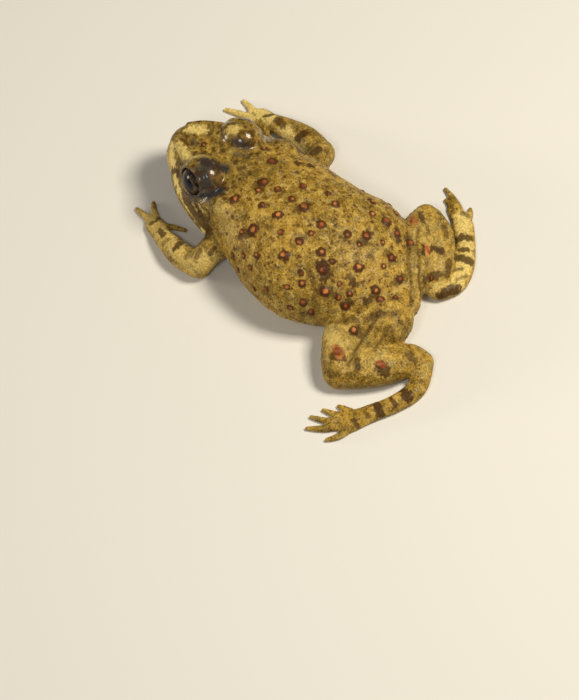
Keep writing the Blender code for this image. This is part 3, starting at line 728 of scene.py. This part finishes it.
def box(name, low, high):
    bm = bmesh.new()
    bmesh.ops.create_cube(bm, size=1.0)
    bmesh.ops.scale(bm, vec=Vector(high) - Vector(low), verts=bm.verts)
    bmesh.ops.translate(bm, vec=(Vector(high) + Vector(low)) / 2, verts=bm.verts)
    return from_faces(bm, name)


def eye_frame(side):
    """An eye's own frame: +Z to where it looks, +X along its opening, +Y up."""
    looks = sided(EYE_LOOKS, side).normalized()
    return Matrix.Translation(sided(EYE_CENTRE, side)) @ looks.to_track_quat("Z", "Y").to_matrix().to_4x4()


def opening(side):
    """The space between an eye's lids, an oval that widens outwards."""
    rings = []
    for out, grow in OPENING_RINGS:
        rings.append([Vector((LID_OPENING[0] * grow * math.cos(angle),
                              LID_OPENING[1] * grow * math.sin(angle), out))
                      for angle in around(OPENING_SIDES)])
    thing = loft("opening", rings)
    thing.data.transform(eye_frame(side))
    return thing


def view_axes():
    """The photograph's directions: to its right, up in it, and back to the camera."""
    turn = math.radians(VIEW_ROUND)
    height = math.radians(VIEW_HEIGHT)
    right = Vector((math.cos(turn), math.sin(turn), 0))
    back = Vector((math.sin(turn) * math.cos(height), -math.cos(turn) * math.cos(height), math.sin(height)))
    return right, back.cross(right), back


def under_pixel(tree, pixel):
    """The skin's place where a pixel of the photograph shows it."""
    right, up, back = view_axes()
    start = right * ((pixel[0] - MID_BODY_PIXEL[0]) / PIXELS)
    start += up * ((MID_BODY_PIXEL[1] - pixel[1]) / PIXELS)
    return tree.ray_cast(start + back * RAY_START, -back)[0]


def tree_of(thing):
    bm = bmesh.new()
    bm.from_mesh(thing.data)
    tree = BVHTree.FromBMesh(bm)
    bm.free()
    return tree


def vectors(items, name):
    """One vector for each item, as rows of an array."""
    values = np.empty(len(items) * 3)
    items.foreach_get(name, values)
    return values.reshape(-1, 3)


def store(mesh, name, values):
    """A number for each point, which materials read by its name."""
    layer = mesh.attributes.new(name, "FLOAT", "POINT")
    layer.data.foreach_set("value", values.astype(np.float32))


def smooth_step(values, start, end):
    """0 before start, 1 after end, smooth between."""
    share = np.clip((values - start) / (end - start), 0, 1)
    return share * share * (3 - 2 * share)


def ridge(values, middle, width):
    """1 at the middle, fading smoothly on both sides."""
    return np.exp(-((values - middle) / width) ** 2)


def bare_skin():
    """The toad's flesh in one skin, with open lids and nostrils, before its fine forms."""
    skin = join(flesh_pieces(), "skin")
    coarser = 1.0
    fuse(skin, FIRST_VOXEL * coarser, FIRST_SMOOTHING)
    bpy.context.view_layer.update()
    cutters = [box("floor", *BELOW_FLOOR)]
    for side in (1, -1):
        socket = (EYE_RADIUS + EYE_CLEARANCE,) * 3
        cutters.append(ellipsoid("socket", sided(EYE_CENTRE, side), socket, *LID_FINENESS))
        cutters.append(opening(side))
        nostril = skin.closest_point_on_mesh(sided(NOSTRIL_CENTRE, side))[1]
        cutters.append(ellipsoid("nostril", nostril, NOSTRIL_RADII, *NOSTRIL_FINENESS))
    cut_away(skin, cutters)
    return fuse(skin, LAST_VOXEL * coarser, LAST_SMOOTHING)


class Skin:
    """The skin's points, how far each is lifted, and its marks, each from 0 to 1."""

    def __init__(self, thing):
        self.thing = thing
        self.tree = tree_of(thing)
        self.places = vectors(thing.data.vertices, "co")
        self.normals = vectors(thing.data.vertices, "normal")
        self.lift = np.zeros(len(self.places))
        self.marks = {name: np.zeros(len(self.places)) for name in MARK_NAMES}
        self.ragged = np.array([noise.noise(Vector(place) * RAGGED_SCALE) for place in self.places])
        self.points = KDTree(len(self.places))
        for index, place in enumerate(self.places):
            self.points.insert(place, index)
        self.points.balance()

    def near(self, places, reach):
        """The points within reach of any of the places, and how far off they are."""
        nearest = {}
        for place in places:
            for point, index, distance in self.points.find_range(place, reach):
                if distance < nearest.get(index, reach):
                    nearest[index] = distance
        return np.fromiter(nearest.keys(), int), np.fromiter(nearest.values(), float)

    def mark(self, name, index, amount):
        self.marks[name][index] = np.maximum(self.marks[name][index], amount)

    def path(self, pixels):
        """Places on the skin along a path of pixels."""
        places = [under_pixel(self.tree, pixels[0])]
        for start, end in zip(pixels, pixels[1:]):
            count = max(2, round(math.dist(start, end) / PATH_STEP))
            for i in range(count + 1):
                pixel = [a + (b - a) * i / count for a, b in zip(start, end)]
                places.append(under_pixel(self.tree, pixel))
        return [place for place in places if place]


def press_mouth(skin):
    """The line of the mouth round the snout, between two rolled lips, the upper one pale."""
    along = skin.places[:, 1]
    front = BODY_STATIONS[0][0]
    share = (along - front) / (MOUTH_BACK - front)
    above = skin.places[:, 2] - (MOUTH_FRONT + (MOUTH_CORNER - MOUTH_FRONT) * share)
    fade = 1 - smooth_step(along, MOUTH_BACK - MOUTH_FADE, MOUTH_BACK + MOUTH_FADE)
    groove = GROOVE_DEPTH * ridge(above, 0, GROOVE_WIDTH)
    lips = LIP_SWELL * ridge(np.abs(above), LIP_OFFSET, LIP_WIDTH)
    skin.lift += (lips - groove) * fade * np.hypot(skin.normals[:, 0], skin.normals[:, 1])
    band = smooth_step(above, *LIP_BAND_START) * fade
    band *= 1 - smooth_step(above + skin.ragged, *LIP_BAND_END)
    skin.marks["cream"] = LIP_STRENGTH * band
    turn = np.arctan2(skin.places[:, 0], LIP_BARS_MIDDLE - along)
    bars = smooth_step(np.sin(turn * LIP_BARS + LIP_BARS_WANDER * skin.ragged), *LIP_BARS_EDGE)
    skin.marks["dark"] = LIP_STRENGTH * band * bars


def roll_lids(skin):
    """A raised rim round each eye's opening, a crease behind it, a line of painted shade along the
    opening's edge, and wet lids.
    """
    for side in (1, -1):
        to_eye = np.array(eye_frame(side).inverted())
        local = skin.places @ to_eye[:3, :3].T + to_eye[:3, 3]
        oval = np.hypot(local[:, 0] / LID_OPENING[0], local[:, 1] / LID_OPENING[1])
        close = (local[:, 2] > 0) & (np.linalg.norm(local, axis=1) < 2 * EYE_RADIUS)
        outside = np.linalg.norm(local, axis=1) > EYE_RADIUS + 3 * EYE_CLEARANCE
        forms = LID_RIM_RISE * ridge(oval, *LID_RIM) - LID_CREASE_DEPTH * ridge(oval, *LID_CREASE)
        skin.lift += forms * close * outside
        # Painted shade along the opening's edge, where the lid meets the eyeball
        skin.mark("dark", slice(None), LID_EDGE_SHADE_STRENGTH * ridge(oval, *LID_LINE) * close)
        off = np.linalg.norm(skin.places - np.array(sided(LID_CENTRE, side)), axis=1)
        skin.mark("wet", slice(None), 1 - smooth_step(off, *LID_WET_REACH))


def sink_eardrum(skin):
    """A round groove with a low swelling round it, on both sides of the head, the groove with painted
    shade.
    """
    place = under_pixel(skin.tree, EARDRUM_PIXEL)
    for spot in (place, sided(place, -1)):
        index, distance = skin.near([spot], 2 * EARDRUM_RADIUS)
        share = distance / EARDRUM_RADIUS
        groove = ridge(share, *EARDRUM_GROOVE)
        swell = EARDRUM_SWELL_SHARE * ridge(share, *EARDRUM_SWELL)
        skin.lift[index] += EARDRUM_DEPTH * (swell - groove)
        # Painted shade in the groove
        skin.mark("dark", index, EARDRUM_SHADE * groove)


def fold(skin):
    """Creases, each with painted shade along its bottom and with a low swelling on both sides."""
    for depth, width, *pixels in CREASES:
        index, distance = skin.near(skin.path(pixels), 4 * width)
        share = distance / width
        groove = ridge(share, 0, 1)
        skin.lift[index] += depth * (CREASE_SWELL_SHARE * ridge(share, *CREASE_SWELL) - groove)
        # Painted shade along the crease's bottom
        skin.mark("dark", index, CREASE_SHADE * depth * groove)


def wart_spots(skin):
    """Each wart's place and radius."""
    rng = random.Random(WART_SIZE_SEED)
    spots = []
    for pixels, radius in zip((LARGE_WARTS, MIDDLING_WARTS, SMALL_WARTS), WART_RADII):
        for pixel in pixels:
            spots.append((under_pixel(skin.tree, pixel), radius * rng.uniform(*WART_RADIUS_SPREAD)))
    for side in (1, -1):
        for i in range(FLANK_WARTS):
            along = FLANK_START + FLANK_LENGTH * (i + rng.uniform(*FLANK_SLACK)) / FLANK_WARTS
            climb = math.radians(rng.uniform(*FLANK_CLIMB))
            outward = Vector((side * math.cos(climb), 0, math.sin(climb)))
            inside = Vector((FLANK_MIDDLE[0], along, FLANK_MIDDLE[1]))
            place = skin.tree.ray_cast(inside, outward)[0]
            spots.append((place, WART_RADII[2] * rng.uniform(*FLANK_RADIUS_SPREAD)))
    return spots


def raise_warts(skin):
    """Domes, some of them long, each with an orange core a little off the middle of a dark ring."""
    rng = np.random.default_rng(WART_SHAPE_SEED)
    for place, radius in wart_spots(skin):
        index, distance = skin.near([place], 2 * radius)
        axis = rng.normal(size=3)
        axis /= np.linalg.norm(axis)
        away = (skin.places[index] - np.array(place)) / radius
        slack = 1 - 1 / rng.uniform(*WART_STRETCH) ** 2
        share = np.sqrt(np.maximum(np.sum(away ** 2, axis=1) - slack * (away @ axis) ** 2, 0))
        to_core = np.linalg.norm(away - WART_CORE_SHIFT * rng.uniform(-1, 1, 3), axis=1)
        to_core /= rng.uniform(*WART_CORE_GROWTH)
        strength = rng.uniform(*WART_CORE_STRENGTH)
        skin.lift[index] += radius * WART_RISE * np.clip(1 - share ** 2, 0, 1) ** 1.5
        skin.lift[index] -= radius * WART_MOAT_DEPTH * ridge(share, *WART_MOAT)
        rough = WART_RAGGED * skin.ragged[index]
        within, beyond = WART_CORE_EDGE
        core = 1 - smooth_step(to_core + rough, WART_CORE - within, WART_CORE + beyond)
        ring = 1 - smooth_step(share + rough, WART_RING - WART_RING_EDGE, WART_RING + WART_RING_EDGE)
        skin.mark("core", index, strength * core)
        skin.mark("ring", index, ring)


def raise_granules(skin):
    """Small bumps all over, larger on the back and legs than on the hands and lids."""
    rng = random.Random(GRANULE_SEED)
    for i in range(GRANULES):
        place = skin.places[rng.randrange(len(skin.places))]
        radius = rng.uniform(*GRANULE_RADII)
        if place[2] < FINE_BELOW or abs(place[0]) > FINE_BESIDE or place[1] < FINE_AHEAD:
            radius *= FINE_GRANULES
        index, distance = skin.near([place], radius)
        rise = radius * GRANULE_RISE * (1 - WET_FLATTENS * skin.marks["wet"][index])
        skin.lift[index] += rise * np.clip(1 - (distance / radius) ** 2, 0, 1) ** 2


def paint(skin, name, places, half_width, strength):
    """A mark along its path; a cream one covers what is dark beneath it."""
    index, distance = skin.near(places, MARK_REACH[0] * half_width + MARK_REACH[1])
    share = distance / half_width + MARK_RAGGED * skin.ragged[index]
    soft = SOFT_EDGES.get(name, FIRM_EDGE)
    amount = strength * (1 - smooth_step(share, 1 - soft, 1 + soft))
    if name == "cream":
        skin.marks["dark"][index] *= 1 - amount
    skin.mark(name, index, amount)


def paint_marks(skin):
    """Patches, bars and strips, some of them painted shade, highlights and dark reflections, those of the
    left cheek once more on the right one.
    """
    for name, half_width, strength, *pixels in MARKS:
        paint(skin, name, skin.path(pixels), half_width, strength)
    for name, half_width, strength, *pixels in CHEEK_MARKS:
        places = [sided(place, -1) for place in skin.path(pixels)]
        paint(skin, name, places, half_width, strength)


def speckle(skin):
    """Small dark specks over the head and the back."""
    rng = random.Random(SPECK_SEED)
    for name, count, radii, (low, high) in SPECKS:
        inside = np.all((skin.places > np.array(low)) & (skin.places < np.array(high)), axis=1)
        choices = np.flatnonzero(inside)
        for i in range(count):
            place = skin.places[rng.choice(choices)]
            radius = rng.uniform(*radii)
            index, distance = skin.near([place], 2 * radius)
            share = distance / radius + SPECK_RAGGED * skin.ragged[index]
            skin.mark(name, index, SPECK_STRENGTH * (1 - smooth_step(share, *SPECK_EDGE)))


def dusk_on_head(skin):
    """The head is darker than the back, in patches."""
    ahead = 1 - smooth_step(skin.places[:, 1], *DUSK_FADE)
    high = smooth_step(skin.places[:, 2], *DUSK_RISE)
    skin.marks["dusk"] = ahead * high * smooth_step(skin.ragged, *DUSK_PATCHES)


def pale_below(skin):
    """The belly and the undersides of the limbs are cream."""
    low = 1 - smooth_step(skin.places[:, 2] + PALE_RAGGED * skin.ragged, *PALE_RISE)
    down = 1 - smooth_step(skin.normals[:, 2], *PALE_FACING)
    skin.marks["pale"] = low * down


def settle(skin):
    """Moves the points, keeps them in the solids' box, and stores the marks on the mesh."""
    places = skin.places + skin.normals * skin.lift[:, None]
    places = places * METRES + np.array(solids_shift())
    margin = BOX_MARGIN * METRES
    low = np.array(cad_bounds[0]) + margin * np.array((1, 1, 0))
    high = np.array(cad_bounds[1]) - margin
    mesh = skin.thing.data
    mesh.vertices.foreach_set("co", np.clip(places, low, high).ravel())
    for name, values in skin.marks.items():
        store(mesh, name, np.clip(values, 0, 1))
    mesh.update()
    mesh.shade_smooth()


def solids_shift():
    """From the toad's own frame, in metres, to the solids' place."""
    low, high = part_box("eye_left")
    return [(a + b) / 2 - METRES * own for a, b, own in zip(low, high, EYE_CENTRE)]


def eye_ball(name, side):
    """An eyeball, its marks told by how far each point is from where it looks."""
    thing = ellipsoid(name, (0, 0, 0), (EYE_RADIUS,) * 3, *EYE_FINENESS)
    places = vectors(thing.data.vertices, "co") / EYE_RADIUS
    ahead = places[:, 2] > 0
    pupil = np.hypot(places[:, 0] / PUPIL_REACH[0], places[:, 1] / PUPIL_REACH[1])
    iris = np.hypot(places[:, 0], places[:, 1]) / IRIS_REACH
    marks = {
        "pupil": (1 - smooth_step(pupil, *PUPIL_FADE)) * ahead,
        "pupil_edge": ridge(pupil, *PUPIL_RING) * ahead,
        "iris": (1 - smooth_step(iris, *IRIS_FADE)) * ahead,
    }
    for mark, values in marks.items():
        store(thing.data, mark, values)
    thing.data.transform(Matrix.Translation(solids_shift()) @ Matrix.Scale(METRES, 4) @ eye_frame(side))
    thing.data.shade_smooth()
    return thing


class Shading:
    """Builds a material's nodes one call at a time."""

    def __init__(self, name, roughness, coat, coat_roughness):
        self.material = bpy.data.materials.new(name)
        self.material.use_nodes = True
        self.tree = self.material.node_tree
        self.shader = self.tree.nodes["Principled BSDF"]
        self.shader.inputs["Roughness"].default_value = roughness
        self.shader.inputs["Coat Weight"].default_value = coat
        self.shader.inputs["Coat Roughness"].default_value = coat_roughness
        self.shader.inputs["Coat IOR"].default_value = WATER_IOR
        self.shader.inputs["Specular IOR Level"].default_value = SPECULAR
        self.object_place = self.tree.nodes.new("ShaderNodeTexCoord").outputs["Object"]

    def put(self, socket, value):
        if hasattr(value, "links"):
            self.tree.links.new(value, socket)
        else:
            socket.default_value = value

    def noise(self, per_mm, detail, distortion):
        node = self.tree.nodes.new("ShaderNodeTexNoise")
        node.inputs["Scale"].default_value = per_mm / METRES
        node.inputs["Detail"].default_value = detail
        node.inputs["Distortion"].default_value = distortion
        self.put(node.inputs["Vector"], self.object_place)
        return node.outputs["Fac"]

    def cells(self, per_mm):
        node = self.tree.nodes.new("ShaderNodeTexVoronoi")
        node.inputs["Scale"].default_value = per_mm / METRES
        self.put(node.inputs["Vector"], self.object_place)
        return node.outputs["Distance"]

    def mark(self, name):
        node = self.tree.nodes.new("ShaderNodeAttribute")
        node.attribute_name = name
        return node.outputs["Fac"]

    def spread(self, value, start, end, low=0.0, high=1.0):
        """The value's stretch from start to end, brought to low to high."""
        node = self.tree.nodes.new("ShaderNodeMapRange")
        node.interpolation_type = "SMOOTHSTEP"
        for name, number in (("From Min", start), ("From Max", end), ("To Min", low), ("To Max", high)):
            node.inputs[name].default_value = number
        self.put(node.inputs["Value"], value)
        return node.outputs["Result"]

    def maths(self, operation, first, second):
        node = self.tree.nodes.new("ShaderNodeMath")
        node.operation = operation
        self.put(node.inputs[0], first)
        self.put(node.inputs[1], second)
        return node.outputs["Value"]

    def mix(self, share, first, second):
        node = self.tree.nodes.new("ShaderNodeMix")
        node.data_type = "RGBA"
        self.put(node.inputs["Factor"], share)
        for socket, colour in ((node.inputs["A"], first), (node.inputs["B"], second)):
            self.put(socket, colour if hasattr(colour, "links") else (*colour, 1.0))
        return node.outputs["Result"]

    def over(self, colour, share, strength, tint):
        """The tint over a colour, as strong at the most as the strength says."""
        return self.mix(self.maths("MULTIPLY", share, strength), colour, tint)

    def by_wetness(self, dry, wet):
        return self.spread(self.mark("wet"), 0.0, 1.0, dry, wet)

    def bump(self, height, strength, distance):
        node = self.tree.nodes.new("ShaderNodeBump")
        node.inputs["Strength"].default_value = strength
        node.inputs["Distance"].default_value = distance * METRES
        self.put(node.inputs["Height"], height)
        return node.outputs["Normal"]

    def finish(self, colour, normal=None):
        self.put(self.shader.inputs["Base Color"], colour)
        if normal:
            self.put(self.shader.inputs["Normal"], normal)
        return self.material


def skin_material():
    """Golden olive skin with fine speckles, orange warts in dark rings, and a wet coat."""
    look = Shading("toad_skin", DRY_ROUGHNESS, DRY_COAT, SKIN_COAT_ROUGHNESS)
    noises = {name: look.noise(*values) for name, values in SKIN_NOISES.items()}
    colour = look.mix(look.spread(noises["broad"], *GROUND_EDGE), OLIVE, GOLD)
    for name, start, full, strength, tint in GROUND_LAYERS:
        colour = look.mix(look.spread(noises[name], start, full, 0.0, strength), colour, tint)
    colour = look.over(colour, look.mark("dusk"), DUSK_STRENGTH, DUSK)
    # Dark dots, and painted pale glints
    for per_mm, size, name, gaps, strength, tint in DOTS:
        dots = look.spread(look.cells(per_mm), *size)
        dots = look.maths("MULTIPLY", dots, look.spread(noises[name], *gaps))
        colour = look.over(colour, dots, strength, tint)
    cream = look.mix(look.spread(noises["fine"], *CREAM_EDGE), *CREAM)
    core = look.mix(look.spread(noises["patchy"], *ORANGE_EDGE), *ORANGE)
    # Cream, painted dark reflections, and dark marks, some of them painted shade
    for name, tint in (("cream", cream), ("painted_dark_reflection", DARK_REFLECTION_COLOUR), ("dark", DARK)):
        colour = look.mix(look.mark(name), colour, tint)
    colour = look.over(colour, look.mark("ring"), RING_STRENGTH, RING)
    for name, tint in (("core", core), ("pale", PALE)):
        colour = look.mix(look.mark(name), colour, tint)
    look.put(look.shader.inputs["Roughness"], look.by_wetness(DRY_ROUGHNESS, WET_ROUGHNESS))
    look.put(look.shader.inputs["Coat Weight"], look.by_wetness(DRY_COAT, WET_COAT))
    fine = look.maths("MULTIPLY", noises["fine"], GRAIN_FINE)
    grain = look.maths("ADD", look.spread(look.cells(GRAIN_CELLS), *GRAIN_CELL_EDGE), fine)
    grain = look.maths("MULTIPLY", grain, look.by_wetness(1.0, WET_GRAIN))
    return look.finish(colour, look.bump(grain, GRAIN_STRENGTH, GRAIN_HEIGHT))


def eye_material():
    """A black pupil with a thin bronze edge in a dark, gold-flecked iris, under a wet surface."""
    look = Shading("toad_eye", EYE_ROUGHNESS, EYE_COAT, EYE_COAT_ROUGHNESS)
    iris = look.mix(look.spread(look.noise(*EYE_NET), *EYE_FLECK_EDGE), EYE_IRIS, EYE_FLECKS)
    colour = look.mix(look.mark("iris"), EYE_BALL, iris)
    colour = look.over(colour, look.mark("pupil_edge"), EYE_RING_STRENGTH, EYE_RING)
    colour = look.mix(look.mark("pupil"), colour, EYE_PUPIL)
    return look.finish(colour)


def plain_material(name, colour, roughness):
    material = bpy.data.materials.new(name)
    material.use_nodes = True
    shader = material.node_tree.nodes["Principled BSDF"]
    shader.inputs["Base Color"].default_value = (*colour, 1.0)
    shader.inputs["Roughness"].default_value = roughness
    return material


def dress(thing, material, nodes):
    thing.data.materials.clear()
    thing.data.materials.append(material)
    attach(thing, "root")
    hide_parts(*nodes)


def to_world(point):
    """A point of the toad's own frame, in metres at the solids' place."""
    return Vector(point) * METRES + Vector(solids_shift())


def add_floor():
    mesh = bpy.data.meshes.new("floor")
    corners = [(x * FLOOR_HALF, y * FLOOR_HALF, 0) for x, y in ((-1, -1), (1, -1), (1, 1), (-1, 1))]
    mesh.from_pydata(corners, [], [(0, 1, 2, 3)])
    floor = link(mesh, "floor")
    mesh.materials.append(plain_material("floor", FLOOR_COLOUR, FLOOR_ROUGHNESS))


def add_light(name, direction, distance, size, power_watts, colour):
    """A soft square light that shines at the toad from a direction."""
    data = bpy.data.lights.new(name, "AREA")
    data.size = size
    data.energy = power_watts
    data.color = colour
    light = bpy.data.objects.new(name, data)
    light.location = to_world(LIT_POINT) + direction.normalized() * distance
    light.rotation_euler = direction.to_track_quat("Z", "Y").to_euler()
    bpy.context.scene.collection.objects.link(light)


def add_lights():
    """A warm key from the photograph's upper right, a small front light, a low one and a soft fill."""
    axes = {"view": Matrix(view_axes()).transposed(), "toad": Matrix.Identity(3)}
    for name, kind, direction, distance, size, power_watts, colour in LIGHTS:
        add_light(name, axes[kind] @ Vector(direction), distance, size, power_watts, colour)
    world = bpy.data.worlds.new("studio")
    world.use_nodes = True
    background = world.node_tree.nodes["Background"]
    background.inputs["Color"].default_value = (*WORLD_COLOUR, 1.0)
    background.inputs["Strength"].default_value = WORLD_STRENGTH
    bpy.context.scene.world = world
    bpy.context.scene.view_settings.view_transform = "Standard"


def add_camera():
    """A long lens at the photograph's angle, with the photograph's frame."""
    right, up, back = view_axes()
    frame_height = PHOTO_SIZE[1] / PIXELS
    middle = right * ((PHOTO_SIZE[0] / 2 - MID_BODY_PIXEL[0]) / PIXELS)
    middle += up * ((MID_BODY_PIXEL[1] - PHOTO_SIZE[1] / 2) / PIXELS)
    data = bpy.data.cameras.new("camera")
    data.lens = LENS
    data.sensor_width = SENSOR
    data.clip_start = CLIP_START
    camera = bpy.data.objects.new("camera", data)
    camera.location = to_world(middle + back * (frame_height * LENS / SENSOR))
    camera.rotation_euler = Matrix((right, up, back)).transposed().to_euler()
    bpy.context.scene.collection.objects.link(camera)
    bpy.context.scene.camera = camera


skin = Skin(bare_skin())
press_mouth(skin)
roll_lids(skin)
sink_eardrum(skin)
raise_warts(skin)
raise_granules(skin)
speckle(skin)
paint_marks(skin)
fold(skin)
dusk_on_head(skin)
pale_below(skin)
settle(skin)
dress(skin.thing, skin_material(), FLESH_NODES)
eyes = eye_material()
dress(eye_ball("eye_l", 1), eyes, ("eye_left",))
dress(eye_ball("eye_r", -1), eyes, ("eye_right",))
add_floor()
add_lights()
add_camera()
